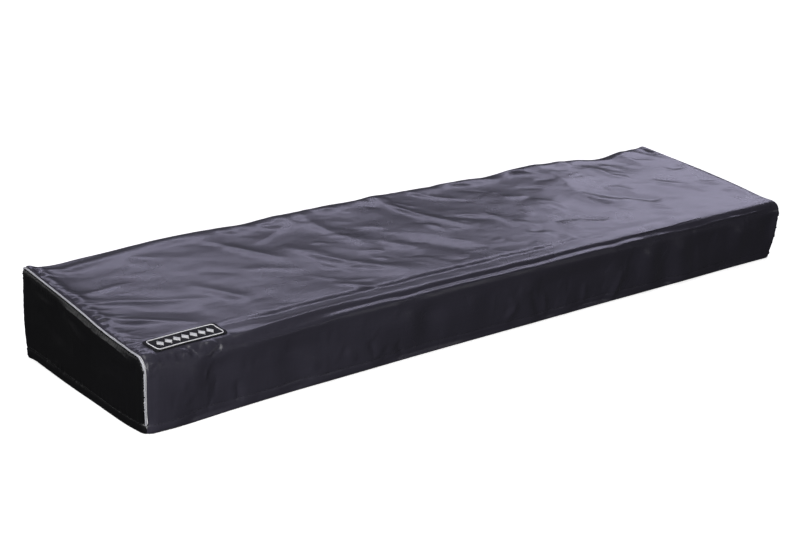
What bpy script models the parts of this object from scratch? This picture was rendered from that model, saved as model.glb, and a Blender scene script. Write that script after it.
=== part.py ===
"""Padded cover of a long keyboard instrument, in metres, +Z up, front towards -Y.

One cut length of padded nylon runs from the front hem over the lip and the top
and down the back. Two end panels are sewn to it with a corded piping between.
The origin is at the middle of the hem.
"""
import math
from collections import namedtuple

import bmesh
import bpy
import numpy as np

MM = 0.001

# Driving dimensions
LENGTH = 1.360
DEPTH = 0.341
CLOTH = 0.003
PIPE_RADIUS = 0.0022
GAP = 0.0006

# The end seam: how far the piping's middle and the two cloth edges lie inside the corner
PIPE_INSET = PIPE_RADIUS + 0.0004
EDGE_INSET = PIPE_INSET + PIPE_RADIUS + GAP
SEAM_X = LENGTH / 2 - EDGE_INSET

# Cross-sections from left to right, in mm: the hem, the belly of the front face,
# the lip, then the heights of the top at its creases and its two long slopes
Section = namedtuple(
    "Section", "x hem_y hem_z belly_y lip_y lip_z reach rise_y rise_z ledge_z tuck_z knee_z mid_z"
)
SECTIONS = (
    Section(-668, -172.5, 0.0, -174.0, -174.5, 112.0, 22, -143, 111.3, 111.8, 112.6, 116.5, 127.5),
    Section(-652, -171.5, 0.0, -173.5, -174.0, 111.0, 22, -143, 110.8, 111.3, 112.0, 115.0, 124.5),
    Section(-610, -171.0, 0.5, -172.5, -173.0, 110.0, 21, -143, 110.6, 111.2, 111.9, 115.0, 124.5),
    Section(-540, -168.5, 1.5, -171.0, -172.5, 106.0, 14, -146, 110.0, 110.6, 112.6, 117.0, 126.5),
    Section(-460, -166.5, 2.0, -170.0, -172.0, 103.0, 9, -150, 109.6, 110.4, 113.4, 119.0, 128.5),
    Section(-340, -166.0, 2.5, -169.5, -171.5, 103.5, 8, -150, 110.2, 111.0, 114.2, 120.5, 130.0),
    Section(-180, -165.0, 2.5, -169.5, -171.5, 102.5, 8, -150, 110.2, 111.2, 114.8, 121.5, 131.5),
    Section(0, -164.5, 2.0, -169.5, -171.5, 102.5, 9, -150, 110.0, 111.6, 115.0, 122.0, 132.0),
    Section(200, -165.0, 2.0, -170.0, -172.0, 103.5, 11, -149, 110.2, 112.2, 115.0, 122.5, 132.0),
    Section(400, -165.5, 1.5, -171.0, -173.0, 105.5, 13, -148, 110.8, 112.8, 114.8, 123.0, 133.0),
    Section(560, -165.0, 1.0, -171.5, -174.5, 108.5, 15, -147, 111.6, 113.2, 114.6, 123.0, 132.5),
    Section(640, -165.0, 0.5, -173.5, -175.5, 111.0, 16, -146, 112.2, 113.4, 114.8, 124.0, 133.0),
    Section(668, -165.0, 0.0, -175.0, -177.0, 112.5, 16, -146, 112.8, 113.8, 115.4, 125.0, 134.5),
)
BELLY_Z = 50
LEDGE_Y = -134
TUCK_Y = -124
KNEE_Y = -65
MID_Y = 10
BACK_Y = 170.5
BACK_BELLY_Y = 175.4
BACK_BELLY_Z = 58
BACK_HEM_Z = 0.8

# Height of the back edge from left to right, in mm: it peaks at the piped corners
Rim = namedtuple("Rim", "x z")
BACK_RIM = (
    Rim(-668, 143.8), Rim(-656, 140.0), Rim(-640, 138.2), Rim(-593, 140.2), Rim(-518, 144.6),
    Rim(-440, 148.2), Rim(-357, 147.6), Rim(-301, 146.6), Rim(-242, 149.4), Rim(-119, 150.4),
    Rim(-54, 151.9), Rim(82, 149.7), Rim(154, 151.5), Rim(228, 148.2), Rim(305, 153.4),
    Rim(385, 153.0), Rim(468, 149.4), Rim(555, 143.4), Rim(599, 149.6), Rim(668, 151.2),
)

# Corners of the profile in order: how far each rounding reaches in mm, the share of
# a short run that it may take, and how the run before it and the rounding are divided
Corner = namedtuple("Corner", "reach share run_steps steps")
BELLY = Corner(28, 0.45, 3, 4)
LIP = Corner(None, 0.72, 6, 8)
RISE = Corner(5, 0.25, 2, 3)
LEDGE = Corner(5, 0.40, 1, 3)
TUCK = Corner(5, 0.40, 1, 3)
KNEE = Corner(24, 0.45, 5, 4)
MID = Corner(36, 0.45, 3, 5)
BACK = Corner(9, 0.45, 14, 6)
BACK_BELLY = Corner(30, 0.45, 4, 5)
LAST_RUN_STEPS = 4
LIP_START = BELLY.run_steps + BELLY.steps + LIP.run_steps
BACK_ROWS = BACK_BELLY.run_steps + BACK_BELLY.steps + LAST_RUN_STEPS

# Height of the hem of the end panels above the floor, in mm, from front to back
Hem = namedtuple("Hem", "y z")
END_HEM = (
    Hem(-172, 0.0), Hem(-110, 0.0), Hem(-44, 0.4), Hem(60, 1.2), Hem(115, 2.8), Hem(140, 3.2),
    Hem(170, 0.8),
)

# Soft ridges (+) and troughs (-) in mm. Each runs through three places on the cloth:
# x, and s along the cloth from the lip, plus over the top and minus down the front.
Fold = namedtuple("Fold", "x0 s0 x1 s1 x2 s2 half_width height")
FOLDS = (
    # left part of the top
    Fold(-655, 210, -620, 213, -560, 220, 8, 1.8),
    Fold(-650, 200, -600, 160, -515, 125, 10, 2.2),
    Fold(-650, 140, -610, 104, -545, 58, 9, 1.8),
    Fold(-615, 145, -575, 115, -525, 92, 9, -1.6),
    Fold(-505, 175, -475, 130, -445, 90, 8, 1.6),
    Fold(-400, 300, -362, 225, -325, 182, 9, 2.2),
    # middle of the top
    Fold(-350, 250, -272, 282, -210, 330, 7, 2.6),
    Fold(-200, 335, -198, 240, -155, 165, 12, 2.4),
    Fold(-300, 232, -262, 150, -165, 68, 11, 2.2),
    Fold(-315, 80, -290, 66, -265, 52, 6, 1.2),
    Fold(-150, 180, -125, 150, -95, 115, 9, 1.4),
    Fold(-85, 160, -50, 110, -10, 65, 12, -1.8),
    Fold(-45, 315, -20, 225, 45, 150, 11, 2.2),
    Fold(25, 345, 60, 285, 125, 250, 8, 2.0),
    Fold(15, 222, 60, 192, 105, 168, 9, -1.8),
    Fold(90, 208, 110, 170, 115, 125, 8, 1.8),
    # right part of the top
    Fold(225, 338, 300, 318, 350, 268, 7, 3.2),
    Fold(340, 345, 335, 235, 420, 128, 16, 3.6),
    Fold(350, 186, 420, 140, 480, 108, 8, -2.2),
    Fold(215, 215, 228, 170, 245, 125, 9, 1.8),
    Fold(105, 102, 135, 80, 175, 48, 7, 1.4),
    Fold(570, 335, 585, 290, 585, 250, 9, 1.8),
    Fold(495, 300, 510, 278, 530, 255, 8, 1.4),
    Fold(600, 335, 645, 330, 668, 300, 8, -3.0),
    # crease that opens like a V beside the patch
    Fold(-560, -6, -450, -12, -300, -2, 5, 1.6),
    Fold(-545, -8, -450, -18, -360, -6, 5, -1.4),
    # front face
    Fold(-25, -42, -10, -66, -30, -96, 12, 2.2),
    Fold(24, -38, 44, -68, 58, -98, 10, -2.0),
    Fold(62, -50, 72, -80, 74, -104, 9, 1.8),
    Fold(160, -50, 162, -80, 160, -104, 9, 1.8),
    Fold(246, -40, 236, -76, 226, -104, 12, 2.6),
    Fold(-305, -50, -292, -78, -285, -104, 9, -1.8),
    Fold(-350, -52, -330, -78, -318, -100, 10, 1.6),
    Fold(-490, -28, -420, -62, -385, -82, 11, 1.6),
    Fold(-535, -62, -528, -85, -526, -104, 8, -1.6),
    # back face
    Fold(-430, 375, -420, 420, -425, 480, 16, 1.8),
    Fold(-90, 372, -110, 420, -100, 475, 18, -2.0),
    Fold(330, 372, 345, 420, 335, 480, 16, 2.0),
    Fold(560, 372, 545, 410, 550, 460, 14, -1.6),
)
FOLD_POINTS = 9
FOLD_TAPER = 0.7
FOLD_FADE = 22 * MM
COLUMNS = 170

# How far each hem corner draws in, in mm: end -1 is left, face -1 is the front
HemCorner = namedtuple("HemCorner", "end face draw")
HEM_CORNERS = (HemCorner(-1, -1, 3.6), HemCorner(1, -1, 1.0), HemCorner(-1, 1, 0.6), HemCorner(1, 1, 1.0))
DRAW_SPREAD = 30 * MM
DRAW_HEIGHT = 30 * MM

# How much of each fine cloth mesh is kept once its flat stretches are thinned out
MAIN_KEPT = 0.12
END_KEPT = 0.45

END_ROWS = 10
PIPE_FOOT = 4 * MM
PIPE_STEP = 9 * MM
PIPE_BEND_STEP = 3 * MM
PIPE_BEND = 0.02

# The patch on the flat front strip
PATCH_LENGTH = 0.116
PATCH_WIDTH = 0.035
PATCH_CLOTH = 0.001
PATCH_X = -0.5965
PATCH_S = 0.0295
PATCH_TURN = math.radians(2.9)
PATCH_CORNER = 0.005
PATCH_CORNER_STEPS = 3
PATCH_LENGTH_STEPS = 8
PATCH_WIDTH_STEPS = 3
PATCH_LIFT = 0.0006
PATCH_CLEAR = 0.014


def along(rows, column, x):
    """A table's column, in metres, as a smooth curve through its rows."""
    at = np.array([row[0] for row in rows]) * MM
    value = np.array([getattr(row, column) for row in rows]) * MM
    slope = np.gradient(value, at)
    slope[[0, -1]] = 0
    x = np.clip(x, at[0], at[-1])
    k = np.clip(np.searchsorted(at, x, side="right") - 1, 0, len(at) - 2)
    step = at[k + 1] - at[k]
    u = (x - at[k]) / step
    return (
        value[k] * (1 + 2 * u) * (1 - u) ** 2
        + value[k + 1] * u * u * (3 - 2 * u)
        + slope[k] * step * u * (1 - u) ** 2
        - slope[k + 1] * step * u * u * (1 - u)
    )


def profile(x):
    """The outer face's cross-section (y, z) at each x, front hem to back hem."""
    def key(y, z):
        y = along(SECTIONS, y, x) if isinstance(y, str) else np.full_like(x, y * MM)
        z = along(SECTIONS, z, x) if isinstance(z, str) else np.full_like(x, z * MM)
        return np.stack([y, z], axis=-1)

    back_top = np.stack([np.full_like(x, BACK_Y * MM), along(BACK_RIM, "z", x)], axis=-1)
    keys = [
        key("hem_y", "hem_z"), key("belly_y", BELLY_Z), key("lip_y", "lip_z"), key("rise_y", "rise_z"),
        key(LEDGE_Y, "ledge_z"), key(TUCK_Y, "tuck_z"), key(KNEE_Y, "knee_z"), key(MID_Y, "mid_z"),
        back_top, key(BACK_BELLY_Y, BACK_BELLY_Z), key(BACK_Y, BACK_HEM_Z),
    ]
    lip = LIP._replace(reach=along(SECTIONS, "reach", x) / MM)
    corners = [BELLY, lip, RISE, LEDGE, TUCK, KNEE, MID, BACK, BACK_BELLY]
    points = [keys[0]]
    for i, corner in enumerate(corners, start=1):
        before, here, after = keys[i - 1], keys[i], keys[i + 1]
        start = here + toward(here, before, corner)
        end = here + toward(here, after, corner)
        last = points[-1]
        for step in range(1, corner.run_steps + 1):
            points.append(last + (start - last) * step / corner.run_steps)
        for step in range(1, corner.steps + 1):
            points.append(bend(start, here, end, step / corner.steps))
    last = points[-1]
    for step in range(1, LAST_RUN_STEPS + 1):
        points.append(last + (keys[-1] - last) * step / LAST_RUN_STEPS)
    return np.stack(points, axis=1)


def bend(start, control, end, u):
    """A point on the smooth bend from start to end that leans towards its control point."""
    return (1 - u) ** 2 * start + 2 * u * (1 - u) * control + u * u * end


def toward(here, there, corner):
    """The way from a corner towards its neighbour, as far as its rounding reaches."""
    way = there - here
    length = np.linalg.norm(way, axis=-1)
    return way * (np.minimum(corner.reach * MM, corner.share * length) / length)[..., None]


def distance_from_lip(section):
    """Length along each cross-section, zero in the middle of the lip's rounding."""
    steps = np.linalg.norm(np.diff(section, axis=1), axis=2)
    total = np.concatenate([np.zeros((len(section), 1)), np.cumsum(steps, axis=1)], axis=1)
    middle = LIP_START + LIP.steps // 2
    return total - total[:, middle:middle + 1]


def patch_place(x, s):
    """A place on the cloth in the patch's own length and width."""
    dx = x - PATCH_X
    ds = s - PATCH_S
    turn = np.array([math.cos(PATCH_TURN), math.sin(PATCH_TURN)])
    return dx * turn[0] + ds * turn[1], ds * turn[0] - dx * turn[1]


def fold_height(x, s):
    """How far the folds lift the cloth at x, s."""
    height = np.zeros_like(x)
    for fold in FOLDS:
        ends = np.array([[fold.x0, fold.s0], [fold.x1, fold.s1], [fold.x2, fold.s2]]) * MM
        middle = 2 * ends[1] - (ends[0] + ends[2]) / 2
        width = fold.half_width * MM
        nearest = np.full_like(x, np.inf)
        place = np.zeros_like(x)
        route = [bend(ends[0], middle, ends[2], u) for u in np.linspace(0, 1, FOLD_POINTS)]
        for i in range(FOLD_POINTS - 1):
            way = route[i + 1] - route[i]
            u = ((x - route[i][0]) * way[0] + (s - route[i][1]) * way[1]) / (way @ way)
            u = np.clip(u, 0, 1)
            away = np.hypot(x - route[i][0] - u * way[0], s - route[i][1] - u * way[1])
            closer = away < nearest
            nearest = np.where(closer, away, nearest)
            place = np.where(closer, (i + u) / (FOLD_POINTS - 1), place)
        fade = np.sin(math.pi * place) ** FOLD_TAPER
        height += fold.height * MM * fade * np.exp(-((nearest / width) ** 2))
    ends = np.clip((SEAM_X - np.abs(x)) / FOLD_FADE, 0, 1)
    length, width = patch_place(x, s)
    outside = np.maximum(np.abs(length) - PATCH_LENGTH / 2, np.abs(width) - PATCH_WIDTH / 2)
    patch = np.clip(outside / PATCH_CLEAR, 0, 1)
    return height * ends * ends * (3 - 2 * ends) * patch


def settle(points):
    """Draw each hem corner in towards the middle of the cover."""
    moved = points.copy()
    low = np.exp(-((points[..., 2] / DRAW_HEIGHT) ** 2))
    for corner in HEM_CORNERS:
        side = np.array([corner.end * LENGTH / 2, corner.face * DEPTH / 2])
        off = np.sum((points[..., :2] - side) ** 2, axis=-1)
        draw = corner.draw * MM * low * np.exp(-off / DRAW_SPREAD ** 2)
        moved[..., 0] -= corner.end * draw
        moved[..., 1] -= corner.face * draw
    return moved


def outward(grid):
    """The outer normal at each point of a grid of points."""
    normal = np.cross(np.gradient(grid, axis=0), np.gradient(grid, axis=1))
    return normal / np.linalg.norm(normal, axis=-1)[..., None]


def offset_profile(section, inset):
    """A cross-section moved inwards by inset."""
    way = np.gradient(section, axis=0)
    way = way / np.linalg.norm(way, axis=1)[:, None]
    return section + inset * np.stack([way[:, 1], -way[:, 0]], axis=1)


def make_material(name, color, roughness):
    material = bpy.data.materials.new(name)
    material.use_nodes = True
    shader = material.node_tree.nodes["Principled BSDF"]
    shader.inputs["Base Color"].default_value = (*color, 1.0)
    shader.inputs["Roughness"].default_value = roughness
    shader.inputs["Metallic"].default_value = 0.0
    material.diffuse_color = (*color, 1.0)
    return material


def add_object(name, data, material, collection):
    piece = bpy.data.objects.new(name, data)
    data.materials.append(material)
    collection.objects.link(piece)
    return piece


def grid_piece(name, points, thickness, material, collection, kept=1.0):
    """A sheet over a grid of points, thinned out inside its rim and thickened inwards."""
    columns, rows = points.shape[:2]
    mesh = bpy.data.meshes.new(name)
    bm = bmesh.new()
    bmesh.ops.create_grid(bm, x_segments=columns - 1, y_segments=rows - 1, size=1)
    for vert in bm.verts:
        i = round((vert.co.x + 1) / 2 * (columns - 1))
        j = round((vert.co.y + 1) / 2 * (rows - 1))
        vert.co = points[i, j]
    bm.to_mesh(mesh)
    bm.free()
    mesh.shade_smooth()
    piece = add_object(name, mesh, material, collection)
    if kept < 1:
        rim = rim_vertices(mesh)
        inner = piece.vertex_groups.new(name="inner")
        inner.add([v.index for v in mesh.vertices if v.index not in rim], 1.0, "REPLACE")
        thin = piece.modifiers.new("thin out", "DECIMATE")
        thin.ratio = kept
        thin.vertex_group = inner.name
    shell = piece.modifiers.new("cloth", "SOLIDIFY")
    shell.thickness = thickness
    shell.offset = -1
    return piece


def make_main_panel(material, collection):
    x = np.linspace(-SEAM_X, SEAM_X, COLUMNS)
    section = profile(x)
    s = distance_from_lip(section)
    wide = np.repeat(x[:, None], section.shape[1], axis=1)
    flat = np.concatenate([wide[..., None], section], axis=2)
    folded = flat + outward(flat) * fold_height(wide, s)[..., None]
    folded[:, 0, 2] = flat[:, 0, 2]
    return grid_piece("main_panel", settle(folded), CLOTH, material, collection, MAIN_KEPT)


def rim_vertices(mesh):
    """Indices of the vertices on a mesh's open edge."""
    count = np.zeros(len(mesh.edges), dtype=int)
    for loop in mesh.loops:
        count[loop.edge_index] += 1
    return {v for edge in mesh.edges if count[edge.index] == 1 for v in edge.vertices}


def make_end_panel(side, material, collection):
    """An end panel: columns from its hem up to the seam line."""
    section = profile(np.array([side * SEAM_X]))[0]
    seam = offset_profile(section, EDGE_INSET)
    last = len(seam) - 1 - BACK_ROWS
    top = seam[LIP_START:last + 1]
    foot_front, foot_back = seam[0], seam[-1]
    share = (top[:, 0] - top[0, 0]) / (top[-1, 0] - top[0, 0])
    foot_y = foot_front[0] + share * (foot_back[0] - foot_front[0])
    foot = np.stack([foot_y, along(END_HEM, "z", foot_y)], axis=1)
    rows = np.linspace(0, 1, END_ROWS + 1)
    yz = foot[:, None] + (top - foot)[:, None] * rows[None, :, None]
    # the columns follow the bowed upright seams, less so further in
    for column, edge, weight in ((0, seam[:LIP_START + 1], 1 - share), (-1, seam[last:][::-1], share)):
        bow = np.interp(yz[column, :, 1], edge[:, 1], edge[:, 0]) - yz[column, :, 0]
        yz[..., 0] += bow * weight[:, None]
    out = np.full(yz.shape[:2], side * LENGTH / 2)
    points = settle(np.concatenate([out[..., None], yz], axis=2))
    if side < 0:
        points = points[::-1]
    name = "end_panel_left" if side < 0 else "end_panel_right"
    return grid_piece(name, points, CLOTH, material, collection, END_KEPT)


def make_piping(side, material, collection):
    """A round cord along the end seam."""
    section = profile(np.array([side * SEAM_X]))[0]
    line = offset_profile(section, PIPE_INSET)
    total = np.concatenate([[0], np.cumsum(np.linalg.norm(np.diff(line, axis=0), axis=1))])
    turns = np.concatenate([[0], np.abs(np.diff(np.arctan2(*np.diff(line, axis=0).T))), [0]])
    kept = [PIPE_FOOT]
    for place, turn in zip(total, turns):
        if place - kept[-1] > (PIPE_BEND_STEP if turn > PIPE_BEND else PIPE_STEP):
            kept.append(place)
    kept = [place for place in kept if place < total[-1] - PIPE_FOOT - PIPE_STEP / 2]
    kept.append(total[-1] - PIPE_FOOT)
    y = np.interp(kept, total, line[:, 0])
    z = np.interp(kept, total, line[:, 1])
    points = settle(np.stack([np.full_like(y, side * (LENGTH / 2 - PIPE_INSET)), y, z], axis=1))
    name = "piping_left" if side < 0 else "piping_right"
    curve = bpy.data.curves.new(name, "CURVE")
    curve.dimensions = "3D"
    curve.bevel_depth = PIPE_RADIUS
    curve.bevel_resolution = 2
    curve.use_fill_caps = True
    spline = curve.splines.new("POLY")
    spline.points.add(len(points) - 1)
    for target, point in zip(spline.points, points):
        target.co = (*point, 1.0)
    return add_object(name, curve, material, collection)


def across_patch(size, steps):
    """Grid lines over one side of the patch, closer together in its round corners."""
    corner = np.linspace(0, PATCH_CORNER, PATCH_CORNER_STEPS + 1)[:-1]
    inner = np.linspace(-size / 2 + PATCH_CORNER, size / 2 - PATCH_CORNER, steps + 1)
    return np.concatenate([-size / 2 + corner, inner, size / 2 - corner[::-1]])


def round_corners(length, width):
    """Pull the grid's square corners in to round ones."""
    over = np.stack([
        np.maximum(np.abs(length) - PATCH_LENGTH / 2 + PATCH_CORNER, 0),
        np.maximum(np.abs(width) - PATCH_WIDTH / 2 + PATCH_CORNER, 0),
    ])
    in_corner = np.min(over, axis=0) > 0
    pull = np.where(in_corner, 1 - np.max(over, axis=0) / np.where(in_corner, np.hypot(*over), 1), 0)
    return length - np.sign(length) * over[0] * pull, width - np.sign(width) * over[1] * pull


def make_patch(material, collection):
    """The woven patch, lying on the cloth just behind the lip."""
    lines = [across_patch(PATCH_LENGTH, PATCH_LENGTH_STEPS), across_patch(PATCH_WIDTH, PATCH_WIDTH_STEPS)]
    length, width = round_corners(*np.meshgrid(*lines, indexing="ij"))
    x = PATCH_X + length * math.cos(PATCH_TURN) - width * math.sin(PATCH_TURN)
    s = PATCH_S + length * math.sin(PATCH_TURN) + width * math.cos(PATCH_TURN)
    section = profile(x.ravel())
    place = distance_from_lip(section)
    points = np.array([
        [px, np.interp(ps, row, yz[:, 0]), np.interp(ps, row, yz[:, 1])]
        for px, ps, row, yz in zip(x.ravel(), s.ravel(), place, section)
    ]).reshape(*x.shape, 3)
    lifted = points + outward(points) * (PATCH_LIFT + PATCH_CLOTH)
    return grid_piece("label_patch", settle(lifted), PATCH_CLOTH, material, collection)


def build():
    for old in list(bpy.data.objects):
        bpy.data.objects.remove(old, do_unlink=True)
    collection = bpy.data.collections.new("keyboard_cover")
    bpy.context.scene.collection.children.link(collection)
    nylon = make_material("charcoal_nylon", (0.040, 0.037, 0.047), 0.5)
    end_nylon = make_material("end_nylon", (0.012, 0.012, 0.014), 0.55)
    cord = make_material("grey_piping", (0.55, 0.55, 0.58), 0.5)
    woven = make_material("woven_patch", (0.02, 0.02, 0.022), 0.8)
    make_main_panel(nylon, collection)
    for side in (-1, 1):
        make_end_panel(side, end_nylon, collection)
        make_piping(side, cord, collection)
    make_patch(woven, collection)


build()
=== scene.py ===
"""Looks of the padded keyboard cover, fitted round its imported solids.

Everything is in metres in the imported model's frame: +X along the cover to the right
end, -Y out of the low front face, +Z up, the origin at the middle of the hem. The cloth
repeats the solids' sections, then adds the creases, gathers and seams of the real one.
"""
import math
from collections import namedtuple

import bmesh
import bpy
import numpy as np
from mathutils import Matrix, Vector


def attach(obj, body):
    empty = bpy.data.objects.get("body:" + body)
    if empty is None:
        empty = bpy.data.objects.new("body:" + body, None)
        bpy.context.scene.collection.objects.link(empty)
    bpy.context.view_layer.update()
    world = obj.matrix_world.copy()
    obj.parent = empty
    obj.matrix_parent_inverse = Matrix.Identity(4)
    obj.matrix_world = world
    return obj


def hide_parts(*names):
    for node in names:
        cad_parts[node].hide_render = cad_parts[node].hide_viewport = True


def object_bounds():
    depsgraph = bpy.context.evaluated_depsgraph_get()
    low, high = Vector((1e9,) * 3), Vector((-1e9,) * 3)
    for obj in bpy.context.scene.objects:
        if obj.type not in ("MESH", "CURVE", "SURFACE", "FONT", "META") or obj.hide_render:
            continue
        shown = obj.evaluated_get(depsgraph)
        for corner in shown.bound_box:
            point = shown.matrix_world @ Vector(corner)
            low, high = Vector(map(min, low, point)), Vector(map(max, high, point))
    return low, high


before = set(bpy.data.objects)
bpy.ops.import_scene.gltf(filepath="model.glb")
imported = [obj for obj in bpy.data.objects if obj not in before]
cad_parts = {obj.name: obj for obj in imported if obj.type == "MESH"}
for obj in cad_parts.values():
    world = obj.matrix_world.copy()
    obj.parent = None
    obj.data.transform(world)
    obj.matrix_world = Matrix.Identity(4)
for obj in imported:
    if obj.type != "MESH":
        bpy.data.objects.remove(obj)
CAD_LOW, CAD_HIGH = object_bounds()

MM = 0.001
LENGTH = CAD_HIGH.x - CAD_LOW.x

# The end seams: how far the piping's middle and the cloth edges lie inside the corner
PIPE_RADIUS = 1.35 * MM
PIPE_INSET = 2.6 * MM
EDGE_INSET = 4.7 * MM
SEAM_X = LENGTH / 2 - EDGE_INSET

# Cross-sections from left to right, in mm, as in the solids: the hem, the belly of the
# front face, the lip, then the heights of the top at its creases and two long slopes
Section = namedtuple(
    "Section", "x hem_y hem_z belly_y lip_y lip_z reach rise_y rise_z ledge_z tuck_z knee_z mid_z"
)
SECTIONS = [Section(*row) for row in (
    (-668, -172.5, 0.0, -174.0, -174.5, 112.0, 30, -143, 111.3, 111.8, 112.6, 116.5, 127.5),
    (-652, -171.5, 0.0, -173.5, -174.0, 111.0, 30, -143, 110.8, 111.3, 112.0, 115.0, 124.5),
    (-610, -171.0, 0.5, -172.5, -173.0, 109.5, 28, -143, 110.6, 111.2, 111.9, 115.0, 124.5),
    (-540, -168.5, 1.5, -171.0, -172.5, 105.0, 20, -148, 110.0, 110.6, 112.6, 117.0, 126.5),
    (-460, -166.5, 2.0, -170.0, -172.0, 102.5, 12, -155, 109.6, 110.4, 113.4, 119.0, 128.5),
    (-340, -166.0, 2.5, -169.5, -171.5, 103.0, 11, -154, 110.2, 111.0, 114.2, 120.5, 130.0),
    (-180, -165.0, 2.5, -169.5, -171.5, 102.5, 11, -153, 110.2, 111.2, 114.8, 121.5, 131.5),
    (0, -164.5, 2.0, -169.5, -171.5, 102.5, 11, -153, 110.0, 111.6, 115.0, 122.0, 132.0),
    (200, -165.0, 2.0, -170.0, -172.0, 103.5, 14, -153, 110.2, 112.2, 115.0, 122.5, 132.0),
    (400, -165.5, 1.5, -171.0, -173.0, 105.5, 20, -151, 110.8, 112.8, 114.8, 123.0, 133.0),
    (560, -165.0, 1.0, -171.5, -174.5, 108.5, 24, -147, 111.6, 113.2, 114.6, 123.0, 132.5),
    (640, -165.0, 0.5, -173.5, -175.5, 111.0, 24, -146, 112.2, 113.4, 114.8, 124.0, 133.0),
    (668, -165.0, 0.0, -175.0, -177.0, 112.5, 24, -146, 112.8, 113.8, 115.4, 125.0, 134.5),
)]
BELLY_Z = 50
LEDGE_Y = -134
TUCK_Y = -124
KNEE_Y = -65
MID_Y = 10
BACK_Y = 170.5
BACK_BELLY_Y = 175.4
BACK_BELLY_Z = 58
BACK_HEM_Z = 0.8

# Height of the back edge from left to right, in mm: it peaks at the piped corners
Rim = namedtuple("Rim", "x z")
BACK_RIM = [Rim(*row) for row in (
    (-668, 143.8), (-656, 140.0), (-640, 138.2), (-593, 140.2), (-518, 144.6),
    (-440, 148.2), (-357, 147.6), (-301, 146.6), (-242, 149.4), (-119, 150.4),
    (-54, 151.9), (82, 149.7), (154, 151.5), (228, 148.2), (305, 153.4),
    (385, 153.0), (468, 149.4), (555, 143.4), (599, 149.6), (668, 151.2),
)]

# Corners of the profile in order: how far each rounding reaches in mm, the share of a
# short run that it may take, and in how many steps it turns
Corner = namedtuple("Corner", "reach share steps")
CORNERS = {
    "belly": Corner(28, 0.45, 10), "lip": Corner(None, 0.82, 24), "rise": Corner(5, 0.25, 6),
    "ledge": Corner(5, 0.40, 6), "tuck": Corner(5, 0.40, 6), "knee": Corner(24, 0.45, 10),
    "mid": Corner(36, 0.45, 10), "back": Corner(15, 0.45, 16), "back_belly": Corner(30, 0.45, 10),
}

# Height of the hem of the end panels above the floor, in mm, from front to back
Hem = namedtuple("Hem", "y z")
END_HEM = [Hem(*row) for row in (
    (-172, 0.0), (-110, 0.0), (-44, 0.4), (60, 1.2), (115, 2.8), (140, 3.2),
    (170, 0.8),
)]

# How far each hem corner draws in, in mm: end -1 is left, face -1 is the front
HemCorner = namedtuple("HemCorner", "end face draw")
HEM_CORNERS = [
    HemCorner(*row) for row in ((-1, -1, 3.6), (1, -1, 1.0), (-1, 1, 0.6), (1, 1, 1.0))
]
DRAW_SPREAD = 30 * MM
DRAW_HEIGHT = 30 * MM
DEPTH = 0.341


def unit(vectors):
    """The vectors at a length of one."""
    return vectors / np.maximum(np.linalg.norm(vectors, axis=-1), 1e-12)[..., None]


def direction(line):
    """Which way a line of points runs at each of them."""
    return unit(np.gradient(line, axis=0))


def running(line):
    """The length along a line of points up to each of them."""
    return np.concatenate([[0], np.cumsum(np.linalg.norm(np.diff(line, axis=0), axis=1))])


def at_lengths(where, run, line):
    """What a line has at those lengths, from its running length and its points."""
    return np.stack([np.interp(where, run, column) for column in line.T], axis=-1)


def resampled(line, count):
    """That many points spaced evenly along a line."""
    run = running(line)
    return at_lengths(np.linspace(0, run[-1], count), run, line)


def outward(grid):
    """The outer normal at each point of a grid of points."""
    return unit(np.cross(np.gradient(grid, axis=0), np.gradient(grid, axis=1)))


def smooth(value):
    """An eased step from 0 to 1."""
    value = np.clip(value, 0, 1)
    return value * value * (3 - 2 * value)


def rising(away, reach, least):
    """From a least share at an edge up to 1 at a distance from it."""
    return least + (1 - least) * smooth(away / reach)


def bell(away, width):
    """A bell curve: 1 in the middle, and a third of it one width away."""
    return np.exp(-((away / width) ** 2))


def along(rows, column, x):
    """A table's column, in metres, as a smooth curve through its rows."""
    at = np.array([row[0] for row in rows]) * MM
    value = np.array([getattr(row, column) for row in rows]) * MM
    slope = np.gradient(value, at)
    slope[[0, -1]] = 0
    x = np.clip(x, at[0], at[-1])
    k = np.clip(np.searchsorted(at, x, side="right") - 1, 0, len(at) - 2)
    step = at[k + 1] - at[k]
    u = (x - at[k]) / step
    return (
        value[k] * (1 + 2 * u) * (1 - u) ** 2
        + value[k + 1] * u * u * (3 - 2 * u)
        + slope[k] * step * u * (1 - u) ** 2
        - slope[k + 1] * step * u * u * (1 - u)
    )


def bend(start, control, end, u):
    """A point on the smooth bend from start to end that leans towards its control point."""
    return (1 - u) ** 2 * start + 2 * u * (1 - u) * control + u * u * end


def toward(here, there, reach, share):
    """The way from a corner towards its neighbour, as far as its rounding reaches."""
    way = there - here
    length = np.linalg.norm(way, axis=-1)
    return way * (np.minimum(reach * MM, share * length) / length)[..., None]


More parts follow.
